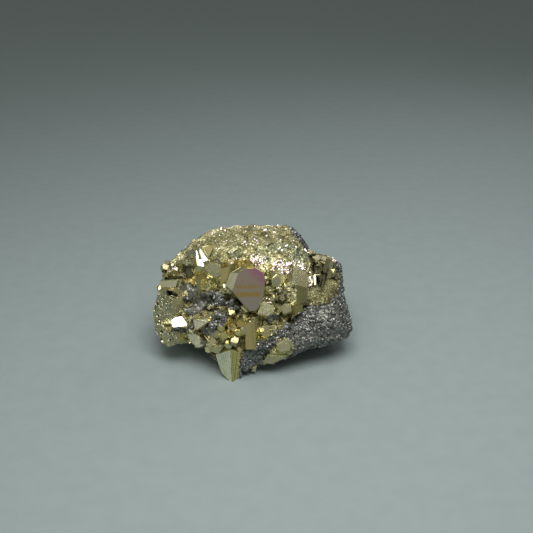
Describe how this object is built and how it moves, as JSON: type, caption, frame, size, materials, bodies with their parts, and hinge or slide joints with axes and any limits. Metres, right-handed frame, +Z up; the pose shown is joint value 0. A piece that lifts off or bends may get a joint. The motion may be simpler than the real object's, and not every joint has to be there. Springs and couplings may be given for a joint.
{
  "type": "pyrite specimen",
  "caption": "Hand specimen of brassy pyrite crystals grown together with granular grey sulphide, rough crown, big six-sided crystal in front, flat patches below to rest on.",
  "frame": {"origin": "on the resting surface, below the middle of the specimen's box", "axes": "+Z up, +X along the specimen's width, to the right of someone who looks at the display side, which faces -Y"},
  "size_m": [0.0792, 0.0636, 0.0461],
  "materials": {
    "pyrite": "satin",
    "grey_sulphide": "satin"
  },
  "bodies": {
    "root": {"specimen": "pyrite"}
  },
  "joints": []
}
